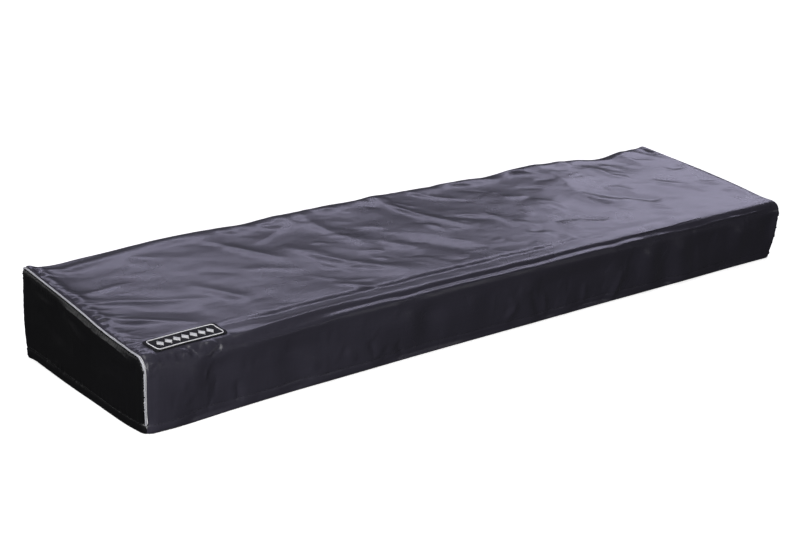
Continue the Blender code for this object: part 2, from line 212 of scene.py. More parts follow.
def profile(x):
    """The outer face's cross-section (y, z) at each x, hem to hem, and the lip's place in it."""
    def key(y, z):
        y = along(SECTIONS, y, x) if isinstance(y, str) else np.full_like(x, y * MM)
        z = along(SECTIONS, z, x) if isinstance(z, str) else np.full_like(x, z * MM)
        return np.stack([y, z], axis=-1)

    keys = [
        key("hem_y", "hem_z"), key("belly_y", BELLY_Z), key("lip_y", "lip_z"), key("rise_y", "rise_z"),
        key(LEDGE_Y, "ledge_z"), key(TUCK_Y, "tuck_z"), key(KNEE_Y, "knee_z"), key(MID_Y, "mid_z"),
        np.stack([np.full_like(x, BACK_Y * MM), along(BACK_RIM, "z", x)], axis=-1),
        key(BACK_BELLY_Y, BACK_BELLY_Z), key(BACK_Y, BACK_HEM_Z),
    ]
    points = [keys[0]]
    middles = {}
    for i, (name, corner) in enumerate(CORNERS.items(), start=1):
        reach = along(SECTIONS, "reach", x) / MM if corner.reach is None else corner.reach
        start = keys[i] + toward(keys[i], keys[i - 1], reach, corner.share)
        end = keys[i] + toward(keys[i], keys[i + 1], reach, corner.share)
        middles[name] = len(points) + corner.steps // 2
        points += [bend(start, keys[i], end, u) for u in np.linspace(0, 1, corner.steps + 1)]
    points.append(keys[-1])
    return np.stack(points, axis=1), middles


def settle(points):
    """Draw each hem corner in towards the middle of the cover."""
    moved = points.copy()
    low = bell(points[..., 2], DRAW_HEIGHT)
    for corner in HEM_CORNERS:
        side = np.array([corner.end * LENGTH / 2, corner.face * DEPTH / 2])
        off = np.linalg.norm(points[..., :2] - side, axis=-1)
        draw = corner.draw * MM * low * bell(off, DRAW_SPREAD)
        moved[..., 0] -= corner.end * draw
        moved[..., 1] -= corner.face * draw
    return moved


# At the front left the hem wraps round the seam: below its top, both cloths reach on to
# each other, and the corner is round in plan
WRAP_RADIUS = 18 * MM
WRAP_TOP = 13 * MM
WRAP_FADE = 9 * MM
WRAP_REACH = 4.0 * MM
WRAP_STRETCH = 15 * MM
WRAP_CORNER = np.array([-LENGTH / 2, -0.1735])


def wrapped(z):
    """From 1 at the wrapped hem to 0 above it."""
    return 1 - smooth((z - WRAP_TOP + WRAP_FADE / 2) / WRAP_FADE)


def reach_on(place, edge, z):
    """Carries the cloth's places on past its edge where the hem wraps round."""
    near = np.clip(1 - (place - edge) / WRAP_STRETCH, 0, 1)
    return place - WRAP_REACH * near ** 2 * wrapped(z)


def wrap_corner(points):
    """Rounds the front left corner in plan at the hem."""
    over = np.maximum(WRAP_RADIUS - (points[..., :2] - WRAP_CORNER), 0)
    span = np.maximum(np.hypot(over[..., 0], over[..., 1]), 1e-9)
    pull = np.where(over.min(axis=-1) > 0, 1 - over.max(axis=-1) / span, 0)
    low = 1 - smooth((points[..., 2] - WRAP_TOP) / (2 * WRAP_FADE))
    moved = points.copy()
    moved[..., :2] += over * (pull * low)[..., None]
    return moved


# Creases of the cloth, in mm. Each runs through three places: x, and s along the cloth
# from the lip, plus over the top and minus down the front. Its height is plus for a
# ridge and minus for a trough; crisp 0 is a soft roll and 1 a sharp fold; step is how
# much higher the cloth lies on its left than on its right; and it rises from its start
# at once where it runs in from a seam.
Crease = namedtuple("Crease", "x0 s0 x1 s1 x2 s2 width height crisp step from_seam", defaults=[0])
CREASES = [Crease(*row) for row in (
    # left part of the top
    (-672, 211, -626, 212, -569, 219, 11, 1.9, 0.6, 0.4, 1),
    (-672, 203, -606, 163, -515, 127, 14, 1.9, 0.5, 0.4, 1),
    (-672, 140, -624, 107, -551, 58, 14, 2.6, 0.5, 0.5, 1),
    (-620, 146, -578, 116, -525, 92, 16, -1.8, 0.2, 0.0),
    (-505, 176, -475, 130, -448, 92, 13, 1.7, 0.4, 0.6),
    (-402, 300, -360, 232, -325, 184, 13, 2.3, 0.6, 0.8),
    (-366, 326, -350, 312, -330, 300, 8, 1.2, 0.6, 0.3),
    # middle of the top
    (-352, 250, -272, 280, -208, 334, 10, 1.7, 0.85, 1.0),
    (-185, 342, -160, 322, -128, 314, 8, 1.5, 0.85, 0.1),
    (-200, 336, -200, 240, -158, 166, 18, 2.6, 0.75, 1.2),
    (-300, 230, -258, 150, -168, 70, 16, 2.5, 0.85, 1.0),
    (-206, 160, -184, 150, -164, 141, 8, 1.2, 0.85, 0.4),
    (-292, 142, -283, 131, -274, 120, 6, 1.0, 0.85, 0.4),
    (-316, 80, -292, 68, -270, 56, 8, 1.4, 0.85, 0.4),
    (-150, 180, -125, 150, -98, 116, 14, 1.6, 0.75, 0.6),
    (-85, 158, -50, 110, -12, 66, 19, -2.0, 0.10, 0.4),
    (-42, 312, -24, 255, -15, 215, 11, 1.8, 0.85, 0.6),
    (-40, 296, -6, 222, 42, 150, 14, 2.6, 0.85, 1.0),
    (-32, 204, -22, 180, -12, 154, 10, 1.4, 0.85, 0.4),
    (28, 345, 62, 292, 122, 256, 10, 1.7, 0.85, 0.7),
    (20, 214, 60, 192, 100, 171, 13, -2.0, 0.20, 0.0),
    (95, 206, 110, 168, 112, 126, 11, 1.9, 0.85, 0.6),
    # right part of the top
    (100, 340, 140, 322, 178, 300, 10, 1.6, 0.85, 0.5),
    (222, 338, 298, 322, 345, 278, 10, 1.9, 0.85, 0.2),
    (350, 346, 352, 270, 334, 212, 24, 3.4, 0.55, 1.2),
    (334, 236, 346, 158, 412, 132, 18, 3.2, 0.85, 1.4),
    (356, 180, 412, 140, 472, 116, 13, -2.3, 0.30, 0.0),
    (222, 215, 230, 172, 240, 130, 14, 1.8, 0.75, 0.5),
    (108, 104, 128, 84, 146, 64, 10, 1.5, 0.85, 0.4),
    (150, 86, 162, 66, 170, 44, 8, 1.3, 0.85, 0.4),
    (227, 210, 251, 179, 256, 146, 9, 1.6, 0.85, 0.5),
    (169, 179, 172, 162, 172, 148, 7, 1.2, 0.85, 0.3),
    (196, 113, 203, 90, 216, 70, 9, 1.6, 0.85, 0.4),
    (121, 146, 139, 128, 141, 104, 8, 1.3, 0.85, 0.4),
    (446, 295, 466, 269, 459, 232, 13, 1.9, 0.60, 0.4),
    (398, 191, 433, 176, 437, 142, 12, 1.7, 0.60, 0.4),
    (534, 190, 542, 164, 581, 142, 12, 1.4, 0.60, 0.3),
    (578, 334, 584, 292, 580, 252, 13, 2.0, 0.85, 0.6),
    (498, 300, 510, 278, 522, 256, 11, 1.5, 0.85, 0.5),
    (590, 289, 612, 281, 634, 271, 8, -1.4, 0.40, 0.0),
    (604, 338, 645, 322, 672, 296, 13, -2.3, 0.20, 0.0),
    (642, 340, 660, 312, 668, 262, 14, -2.6, 0.20, 0.0),
    # crease that opens like a V beside the patch
    (-536, 6, -440, 15, -290, 24, 6, 2.4, 0.6, 0.3),
    (-524, -1, -440, 3, -320, 8, 6, -1.4, 0.2, 0.0),
    (-520, -6, -450, -6, -340, 0, 5, 1.4, 0.6, 0.0),
    # front face
    (-24, -46, -8, -62, -28, -78, 8, 3.4, 0.5, 0.4),
    (26, -38, 42, -64, 60, -98, 9, -3.4, 0.3, 0.6),
    (58, -52, 66, -70, 72, -90, 6, 2.8, 0.5, 0.4),
    (158, -54, 162, -72, 162, -92, 7, 2.8, 0.5, 0.4),
    (248, -44, 240, -72, 230, -102, 9, 3.8, 0.4, 0.6),
    (-304, -50, -298, -64, -290, -80, 6, -2.8, 0.5, 0.4),
    (-346, -56, -338, -66, -326, -76, 6, 2.6, 0.5, 0.3),
    (-482, -28, -424, -52, -394, -74, 9, 2.8, 0.4, 0.5),
    (-534, -58, -530, -76, -526, -92, 6, -2.6, 0.5, 0.4),
    (-250, -66, -240, -80, -230, -96, 6, -2.4, 0.5, 0.3),
    # back face
    (-430, 375, -420, 420, -425, 480, 16, 1.8, 0.2, 0.5),
    (-90, 372, -110, 420, -100, 475, 18, -2.0, 0.2, 0.5),
    (330, 372, 345, 420, 335, 480, 16, 2.0, 0.2, 0.5),
    (560, 372, 545, 410, 550, 460, 14, -1.6, 0.2, 0.5),
    (-560, 368, -548, 392, -556, 430, 9, 1.4, 0.5, 0.4),
    (120, 370, 138, 398, 132, 452, 11, 1.5, 0.4, 0.4),
)]
CREASE_POINTS = 9
# As shares of a crease's width: how blunt and how wide its sharp part is, how far its
# step carries, and how much it narrows away from a seam
BLUNT = 0.25
SHARP_WIDTH = 0.62
STEP_REACH = 3.5
NARROWING = 0.6

# The patch on the flat front strip
PATCH_LENGTH = 0.116
PATCH_WIDTH = 0.035
PATCH_X = -0.5965
PATCH_S = 0.0295
PATCH_TURN = math.radians(2.9)
PATCH_CORNER = 0.005
PATCH_LIFT = 0.0003
PATCH_CLOTH = 0.0008
PATCH_CLEAR = 0.005


def patch_place(x, s):
    """A place on the cloth in the patch's own length and width."""
    dx, ds = x - PATCH_X, s - PATCH_S
    return (
        dx * math.cos(PATCH_TURN) + ds * math.sin(PATCH_TURN),
        ds * math.cos(PATCH_TURN) - dx * math.sin(PATCH_TURN),
    )


def beyond_patch(length, width):
    """How far a place lies outside the patch, or less than 0 on it."""
    return np.maximum(np.abs(length) - PATCH_LENGTH / 2, np.abs(width) - PATCH_WIDTH / 2)


def crease_height(x, s, crease):
    """How far one crease lifts the cloth at each x, s."""
    ends = np.array([[crease.x0, crease.s0], [crease.x1, crease.s1], [crease.x2, crease.s2]]) * MM
    control = 2 * ends[1] - (ends[0] + ends[2]) / 2
    route = [bend(ends[0], control, ends[2], u) for u in np.linspace(0, 1, CREASE_POINTS)]
    nearest = np.full_like(x, np.inf)
    place = np.zeros_like(x)
    side = np.ones_like(x)
    for i in range(CREASE_POINTS - 1):
        way = route[i + 1] - route[i]
        off_x, off_s = x - route[i][0], s - route[i][1]
        u = np.clip((off_x * way[0] + off_s * way[1]) / (way @ way), 0, 1)
        away = np.hypot(off_x - u * way[0], off_s - u * way[1])
        closer = away < nearest
        nearest = np.where(closer, away, nearest)
        place = np.where(closer, (i + u) / (CREASE_POINTS - 1), place)
        side = np.where(closer, np.sign(way[0] * off_s - way[1] * off_x), side)
    fade = np.sin(math.pi * place) ** 0.7
    if crease.from_seam:
        fade = np.cos(math.pi / 2 * place) ** 0.8
    width = crease.width * MM * (1 - NARROWING * crease.from_seam * place)
    blunt = BLUNT * width
    sharp = np.exp(-(np.hypot(nearest, blunt) - blunt) / (SHARP_WIDTH * width))
    lift = crease.height * ((1 - crease.crisp) * bell(nearest, width) + crease.crisp * sharp)
    shelf = crease.step / 2 * np.tanh(side * nearest / width) * bell(nearest, STEP_REACH * width)
    return (lift + shelf) * MM * fade


def add_creases(height, x, s, creases):
    """Adds each crease to the columns that it can reach."""
    for crease in creases:
        reach = 8 * crease.width * MM
        low = min(crease.x0, crease.x1, crease.x2) * MM - reach
        high = max(crease.x0, crease.x1, crease.x2) * MM + reach
        first, last = np.searchsorted(x[:, 0], [low, high])
        if last > first:
            height[first:last] += crease_height(x[first:last], s[first:last], crease)


def soft_noise(rng, x, s, cell_x, cell_s):
    """Smooth random waves from -1 to 1, with one knot in each cell of the cloth."""
    u = (x - x.min()) / cell_x
    v = (s - s.min()) / cell_s
    knots = rng.uniform(-1, 1, (int(u.max()) + 3, int(v.max()) + 3))
    i, j = u.astype(int), v.astype(int)
    a, b = smooth(u - i), smooth(v - j)
    low = knots[i, j] * (1 - a) + knots[i + 1, j] * a
    high = knots[i, j + 1] * (1 - a) + knots[i + 1, j + 1] * a
    return low * (1 - b) + high * b


# Small crinkles strewn over part of the cloth, in mm: where, how many, which way they
# run, in degrees from the cover's length, and how long, wide and high they are
Strewn = namedtuple("Strewn", "x0 x1 s0 s1 count angle spread length width height")
STREWN = [Strewn(*row) for row in (
    (-640, -300, 40, 340, 40, -24, 26, 60, 3.4, 0.26),
    (-640, -300, 40, 340, 10, -26, 24, 80, 8.0, 0.90),
    (-300, 200, 45, 340, 110, -28, 32, 46, 3.2, 0.50),
    (-300, 200, 45, 340, 26, -30, 26, 70, 7.5, 1.35),
    (200, 660, 50, 340, 90, -20, 34, 50, 3.4, 0.45),
    (200, 660, 50, 340, 20, -24, 30, 80, 8.5, 1.75),
    (-200, 140, 55, 190, 40, -12, 18, 30, 2.6, 0.55),
    (-664, -558, -14, 9, 20, 12, 34, 26, 4.4, 1.25),
    (-600, -530, -12, 10, 7, 25, 34, 24, 5.0, 0.70),
    (-520, -380, -14, 8, 10, 5, 24, 30, 3.4, 0.80),
    (-640, 660, -98, -12, 80, 78, 30, 36, 4.0, 0.95),
    (-640, 640, 365, 490, 40, 80, 35, 40, 6.0, 0.90),
)]

# Puckers gathered along a seam, in mm: which end, the stretch of s, the spacing, and
# how far they reach in and how high they are at most
Gather = namedtuple("Gather", "end s0 s1 spacing reach width height")
GATHERS = [Gather(*row) for row in (
    (-1, 18, 330, 7.5, 30, 3.2, -1.9),
    (-1, 24, 326, 17.0, 62, 4.6, 1.9),
    (-1, -84, -16, 13.0, 22, 3.4, -0.9),
    (-1, 350, 470, 12.0, 26, 4.0, 0.9),
    (1, 20, 335, 10.0, 26, 3.2, -1.1),
    (1, -84, -6, 14.0, 20, 3.6, 0.4),
    (1, 350, 470, 12.0, 26, 4.0, 0.9),
)]


def strewn_creases(rng):
    """The strewn crinkles, each with its own place, turn and size."""
    for area in STREWN:
        for _ in range(area.count):
            x = rng.uniform(area.x0, area.x1)
            s = rng.uniform(area.s0, area.s1)
            turn = math.radians(area.angle + area.spread * rng.normal() * 0.6)
            half = area.length * rng.uniform(0.35, 1.0) / 2
            sag = half * rng.uniform(-0.25, 0.25)
            dx, ds = half * math.cos(turn), half * math.sin(turn)
            height = area.height * rng.uniform(0.35, 1.0) * rng.choice([1, 1, -1])
            yield Crease(
                x - dx, s - ds, x - sag * math.sin(turn), s + sag * math.cos(turn), x + dx, s + ds,
                area.width * rng.uniform(0.7, 1.3), height, rng.uniform(0.3, 0.8), 0.3 * height,
            )


def gathered_creases(rng):
    """The puckers that start at the end seams."""
    for seam in GATHERS:
        s = seam.s0
        edge = seam.end * SEAM_X / MM
        while s < seam.s1:
            reach = seam.reach * rng.uniform(0.35, 1.0) ** 1.5
            slant = reach * rng.uniform(-0.45, 0.45)
            inward = -seam.end * reach
            yield Crease(
                edge, s, edge + 0.5 * inward, s + 0.35 * slant, edge + inward, s + slant,
                seam.width * rng.uniform(0.7, 1.3), seam.height * rng.uniform(0.3, 1.0),
                rng.uniform(0.2, 0.7), 0, 1,
            )
            s += seam.spacing * rng.uniform(0.6, 1.5)


# The welt where the padding is pinched along the lip, the groove behind it, and the
# deeper crease at the foot of the slope, in mm
Welt = namedtuple("Welt", "x s height groove tuck")
WELT = [Welt(*row) for row in (
    (-668, 0, 0, 0, 0), (-520, 0, 0, 0, 0.4), (-420, 0, 0, 0.6, 0.9), (-340, 1, 1.0, 2.0, 1.1),
    (-250, 0, 1.4, 2.7, 1.2), (-120, 1, 1.7, 2.9, 1.2), (20, 0, 1.6, 2.9, 1.0),
    (180, 1, 1.6, 2.4, 0.7), (330, 0, 2.0, 1.4, 0.3), (470, -1, 2.5, 0.8, 0),
    (600, -2, 2.1, 0.4, 0), (668, 0, 0, 0, 0),
)]
TUCK_S = 41 * MM
TUCK_WIDTH = 5 * MM
WELT_WIDTH = 2.4 * MM
GROOVE_BEHIND = 9 * MM
GROOVE_WIDTH = 5.0 * MM

# How early and how deep the cloth rolls off before the lip towards the right end
ROLL_FROM = 0.10
ROLL_FADE = 0.30
ROLL_LENGTH = 38 * MM
ROLL_DEPTH = 4.0 * MM

# Puffs of cloth just before the back edge, behind which it falls away: ends and height, in mm
Puff = namedtuple("Puff", "x0 x1 height")
PUFFS = [Puff(*row) for row in (
    (-348, -291, 1.8), (-262, -222, 1.6), (-181, -83, 1.8), (-60, -15, 1.8),
    (30, 108, 2.8), (152, 250, 3.0), (266, 388, 1.9), (396, 442, 2.0),
)]
PUFF_BEFORE = 20 * MM
PUFF_WIDTH = 17 * MM
BACK_LENGTH = 0.149

# The even swell before the back edge, and the share of it by which the edge itself falls
BACK_SWELL = 2.5 * MM
SWELL_BEFORE = 20 * MM
SWELL_WIDTH = 13 * MM
BACK_FALL = 0.8
BACK_FALL_WIDTH = 11 * MM

# How far the front face hangs in, beside its waves
FRONT_SAG = 1.0 * MM
COVER_SEED = 11

# The hem: folded in and stitched along a line this high above its edge
HEM_HEIGHT = 15 * MM
HEM_GROOVE = 0.8 * MM
HEM_GROOVE_WIDTH = 1.3 * MM
HEM_BULGE = 0.45 * MM
HEM_EDGE = 0.8 * MM
# The share of its creases that the cloth keeps at its very edge
EDGE_SHARE = 0.3

# Stitches of the hem: how far apart and how long they are, their shape, and how far
# from the ends they stop
STITCH_PITCH = 4.4 * MM
STITCH_LENGTH = 3.3 * MM
STITCH_RADIUS = 0.33 * MM
STITCH_SHARES = np.array([0.0, 0.25, 0.75, 1.0])
STITCH_RISE = np.array([-0.35, 0.15, 0.15, -0.35]) * MM
STITCH_STOP = 6 * MM
# How narrow a tube of thread ends, as a share of its width
TUBE_END = 0.35

# Beside the piping the cloth rolls down into the seam, less where the piping lies sunk
SEAM_ROLL = 5 * MM
SEAM_DEPTH = 2.0 * MM
SUNK_DEPTH = 1.6 * MM
PIPE_SUNK = 2.6 * MM
# Beyond this y, the seam runs down the front or the back
UPRIGHT_Y = 0.163
FRONT_SUNK = 0.4
SEAM_POINTS = 900
SEAM_FADE = 8 * MM
GATHER_FADE = 4 * MM
CLOTH = 2.6 * MM
# The lowest that a cloth's inner and outer faces come
INNER_LOW = 0.1 * MM
OUTER_LOW = 0.2 * MM


def spaced(*spans):
    """Places through consecutive spans of (end, step), from the first number given."""
    start, *rest = spans
    places = [start]
    for end, step in rest:
        count = max(1, round((end - start) / step))
        places += list(start + (end - start) * np.arange(1, count + 1) / count)
        start = end
    return np.array(places)


def shares(*spans):
    """The places through spans from 0 on, as shares of their whole length."""
    places = spaced(0, *spans)
    return places / places[-1]


def cover_grid():
    """Columns x and rows s of the main cloth, and its smooth surface without creases."""
    x = spaced(-SEAM_X, (-0.667, 1.0 * MM), (-0.53, 1.25 * MM), (0.56, 3.7 * MM), (0.667, 2.8 * MM),
               (SEAM_X, 1.0 * MM))
    section, middles = profile(x)
    total = np.stack([running(line) for line in section])
    lip, back, end = total[:, [middles["lip"]]], total[:, [middles["back"]]], total[:, -1:]
    # rows share out each span between hem, lip, back edge and hem in the same way
    front_rows = shares((0.022, 2.0 * MM), (0.080, 4.0 * MM), (0.103, 1.4 * MM))
    top_rows = shares((0.022, 1.4 * MM), (0.060, 1.8 * MM), (0.330, 3.3 * MM), (0.344, 2.0 * MM))
    back_rows = shares((0.014, 2.0 * MM), (0.120, 6.5 * MM), (0.147, 2.6 * MM))
    s = np.concatenate([
        lip * (front_rows - 1), (back - lip) * top_rows[1:], back - lip + (end - back) * back_rows[1:],
    ], axis=1)
    yz = np.stack([at_lengths(row, run, line) for row, run, line in zip(s, total - lip, section)])
    wide = np.repeat(x[:, None], s.shape[1], axis=1)
    return wide, s, np.concatenate([wide[..., None], yz], axis=2)


def cover_height(x, s):
    """How far creases, gathers and waves lift the main cloth off its smooth surface."""
    rng = np.random.default_rng(COVER_SEED)
    height = np.zeros_like(x)
    add_creases(height, x, s, CREASES)
    add_creases(height, x, s, strewn_creases(rng))
    on_top = smooth((s - 0.03) / 0.04) * smooth((s[:, -1:] - 0.16 - s) / 0.02)
    calm_left = 0.55 + 0.45 * smooth((x + 0.45) / 0.15)
    on_front = smooth((-s - 0.008) / 0.03)
    # waves: how high in mm, how far they lean, their cells in x and s, and where they lie
    for high, lean, cell_x, cell_s, where in (
        (1.3, 0.5, 0.085, 0.060, 0.2 + 0.8 * on_top * calm_left),
        (0.35, 0.4, 0.030, 0.020, 1),
        (5.4, 0.25, 0.042, 0.075, on_front),
        (0.08, 0.6, 0.016, 0.006, 1),
        (0.05, 0, 0.007, 0.005, 1),
    ):
        height += high * MM * soft_noise(rng, x + lean * s, s, cell_x, cell_s) * where
    height -= FRONT_SAG * on_front
    level = np.zeros_like(s)
    waver = 1.6 * MM * soft_noise(rng, x, level, 0.045, 1)
    welt_s = along(WELT, "s", x) + waver
    welt = along(WELT, "height", x) * (0.75 + 0.25 * soft_noise(rng, x, level, 0.02, 1))
    height += welt * np.exp(-np.abs((s - welt_s) / WELT_WIDTH) ** 1.5)
    height -= along(WELT, "groove", x) * bell(s - welt_s - GROOVE_BEHIND, GROOVE_WIDTH)
    height -= along(WELT, "tuck", x) * bell(s - TUCK_S - 1.5 * waver, TUCK_WIDTH)
    to_back = s[:, -1:] - BACK_LENGTH - s
    swell = 0.7 + 0.5 * soft_noise(rng, x, level, 0.06, 1)
    fall = BACK_FALL * bell(to_back, BACK_FALL_WIDTH)
    height += BACK_SWELL * swell * (bell(to_back - SWELL_BEFORE, SWELL_WIDTH) - fall)
    # towards the right end the cloth rolls off early before the lip
    rolled = smooth((x - ROLL_FROM) / ROLL_FADE) * smooth((s + ROLL_LENGTH) / ROLL_LENGTH)
    height -= ROLL_DEPTH * rolled * np.clip(1 - s / ROLL_LENGTH, 0, 1) ** 2
    for puff in PUFFS:
        share = np.clip((x / MM - puff.x0) / (puff.x1 - puff.x0), 0, 1)
        height += puff.height * MM * np.sin(math.pi * share) ** 1.3 * bell(to_back - PUFF_BEFORE, PUFF_WIDTH)
    gathers = np.zeros_like(x)
    add_creases(gathers, x, s, gathered_creases(rng))
    clear = smooth(beyond_patch(*patch_place(x, s)) / PATCH_CLEAR)
    ends = smooth((SEAM_X - np.abs(x)) / (2 * SEAM_FADE))
    pinned = smooth((SEAM_X - np.abs(x)) / GATHER_FADE)
    return (height * ends + gathers * pinned) * clear


def hem_shape(above, along_hem):
    """How the hem's fold and stitching shape the cloth at a height above its edge."""
    pull = 0.75 + 0.25 * np.cos(2 * math.pi * along_hem / STITCH_PITCH)
    groove = HEM_GROOVE * pull * bell(above - HEM_HEIGHT, HEM_GROOVE_WIDTH)
    bulge = HEM_BULGE * smooth(above / (4 * MM)) * smooth((HEM_HEIGHT - above) / (3 * MM))
    return bulge - groove - HEM_EDGE * (1 - smooth(above / (3 * MM)))


def sunk(x, y):
    """How far the piping is sunk, from 0 to 1: fully at the right end and the back, less at the front."""
    back = smooth((y - UPRIGHT_Y) / (10 * MM))
    front = FRONT_SUNK * smooth((-y - UPRIGHT_Y) / (8 * MM))
    return np.maximum(smooth(x / MM), np.maximum(back, front))


def seam_roll(away, x, y):
    """How far the cloth has rolled down at a distance from its seamed edge."""
    depth = SEAM_DEPTH + (SUNK_DEPTH - SEAM_DEPTH) * sunk(x, y)
    return depth * np.clip(1 - away / SEAM_ROLL, 0, 1) ** 2.2


def linked(name, data):
    """A new object of the scene."""
    thing = bpy.data.objects.new(name, data)
    bpy.context.scene.collection.objects.link(thing)
    return thing


def finished(name, bm, material):
    """The faces as one smooth piece, with their normals outwards."""
    bmesh.ops.recalc_face_normals(bm, faces=bm.faces)
    mesh = bpy.data.meshes.new(name)
    bm.to_mesh(mesh)
    bm.free()
    mesh.shade_smooth()
    mesh.materials.append(material)
    return linked(name, mesh)


def make_sheet(name, points, thickness, coarse, place, material):
    """A closed sheet: a fine outer face, and a coarser inner face joined round its rim.

    place is each point's place on the flat cloth, kept as the UV map "cloth".
    """
    columns, rows = points.shape[:2]
    inner_points = points - outward(points) * thickness
    inner_points[..., 2] = np.maximum(inner_points[..., 2], INNER_LOW)
    across = sorted({*range(0, columns, coarse), columns - 1})
    up = sorted({*range(0, rows, coarse), rows - 1})
    bm = bmesh.new()
    uv = bm.loops.layers.uv.new("cloth")
    outer = {(i, j): bm.verts.new(points[i, j]) for i in range(columns) for j in range(rows)}
    inner = {(i, j): bm.verts.new(inner_points[i, j]) for i in across for j in up}
    for i in range(columns - 1):
        for j in range(rows - 1):
            bm.faces.new([outer[i, j], outer[i + 1, j], outer[i + 1, j + 1], outer[i, j + 1]])
    for i, i2 in zip(across, across[1:]):
        for j, j2 in zip(up, up[1:]):
            bm.faces.new([inner[i, j], inner[i, j2], inner[i2, j2], inner[i2, j]])
    for stops, spot, way in (
        (across, lambda k: (k, 0), 1), (across, lambda k: (k, rows - 1), -1),
        (up, lambda k: (0, k), -1), (up, lambda k: (columns - 1, k), 1),
    ):
        for low, high in zip(stops, stops[1:]):
            fine = [outer[spot(k)] for k in range(low, high + 1)]
            bm.faces.new([*fine[::-way], *[inner[spot(low)], inner[spot(high)]][::way]])
    spots = {vert: spot for verts in (outer, inner) for spot, vert in verts.items()}
    for face in bm.faces:
        for loop in face.loops:
            loop[uv].uv = place[spots[loop.vert]]
    return finished(name, bm, material)


def make_cover(material):
    """The main cloth, with its grids of x, s, outer points and the smooth surface under the patch."""
    x, s, smooth_surface = cover_grid()
    height = cover_height(x, s)
    height[:, [0, -1]] *= EDGE_SHARE
    above = np.minimum(s - s[:, :1], s[:, -1:] - s)
    height *= rising(above, 6 * MM, 0.15)
    height += hem_shape(above, x)
    front_left = (x < 0) & (s < 0)
    wrap = wrapped(above) * front_left
    height -= seam_roll(SEAM_X - np.abs(x), x, smooth_surface[..., 1]) * (1 - wrap)
    points = smooth_surface + outward(smooth_surface) * height[..., None]
    points[..., 0] = np.where(front_left, reach_on(points[..., 0], -SEAM_X, points[..., 2]), points[..., 0])
    points = wrap_corner(settle(points))
    points[..., 2] = np.maximum(points[..., 2], OUTER_LOW)
    cover = make_sheet("cover_cloth", points, CLOTH, 4, np.stack([x, s], axis=-1), material)
    return cover, x, s, points, settle(smooth_surface)


def offset_profile(section, inset):
    """A cross-section moved inwards by an inset, which may differ from point to point."""
    way = direction(section)
    return section + np.reshape(inset, (-1, 1)) * np.stack([way[:, 1], -way[:, 0]], axis=1)


def seam_line(side, inset):
    """The end seam's cross-section at that inset, with points close together."""
    section, _ = profile(np.array([side * SEAM_X]))
    return offset_profile(resampled(section[0], SEAM_POINTS), inset)


# Creases of the end panels, in mm, on y and the height above the floor
END_CREASES = {
    -1: [Crease(*row) for row in (
        (-150, 88, -100, 97, -48, 106, 8, 3.2, 0.5, 0.4),
        (-60, 102, -10, 110, 60, 122, 7, 2.8, 0.6, 0.3),
        (-30, 74, 15, 90, 40, 110, 10, 3.0, 0.3, 0.4),
        (60, 112, 100, 106, 138, 122, 9, 2.8, 0.4, 0.3),
        (-120, 60, -80, 50, -30, 52, 15, 2.4, 0.1, 0.4),
        (20, 62, 70, 70, 120, 92, 13, -2.6, 0.1, 0.4),
    )],
    1: [Crease(*row) for row in (
        (-150, 60, -110, 70, -60, 66, 14, 1.4, 0.2, 0.4),
        (-40, 96, 10, 84, 60, 92, 10, -1.4, 0.3, 0.4),
        (70, 120, 110, 108, 150, 116, 9, 1.6, 0.4, 0.4),
        (40, 40, 90, 52, 140, 40, 14, 1.4, 0.1, 0.4),
    )],
}
END_COLUMNS = 190
END_SEED = 23
HEM_PUCKERS = 34
HEM_PUCKER_FROM = 12
SEAM_PUCKERS = 44
# The heights at which the seam's uprights turn into its top
FRONT_TURN = 0.088
BACK_TURN = 0.128
# How far in from the solid's end the cloth rests, and how far out its creases may stand
END_REST = 0.6 * MM
END_MOST = 1.6 * MM
# Where its creases begin to fade towards the seam, and the soft roll beside the seam
END_CALM = 12 * MM
END_ROLL = 1.1 * MM
END_ROLL_AT = 10 * MM
END_ROLL_WIDTH = 6 * MM


def hem_puckers(rng):
    """Small puckers above an end panel's hem, in mm."""
    low = HEM_PUCKER_FROM
    for _ in range(HEM_PUCKERS):
        at, rise, width = rng.uniform(-160, 160), rng.uniform(7, 16), rng.uniform(1.6, 3.2)
        yield Crease(
            at, low, at + rng.uniform(-3, 3), low + rise / 2, at + rng.uniform(-5, 5), low + rise,
            width, rng.uniform(-0.9, 0.9), 0.4, 0,
        )


def seam_puckers(rng, top):
    """Puckers that hang from an end panel's seam, in mm."""
    for _ in range(SEAM_PUCKERS):
        y, z = top[rng.integers(6, len(top) - 6)] / MM
        reach = rng.uniform(8, 24)
        yield Crease(
            y, z, y + rng.uniform(-3, 3), z - reach / 2, y + rng.uniform(-8, 8), z - reach,
            rng.uniform(2.0, 3.4), rng.uniform(0.2, 0.8), 0.4, 0, 1,
        )


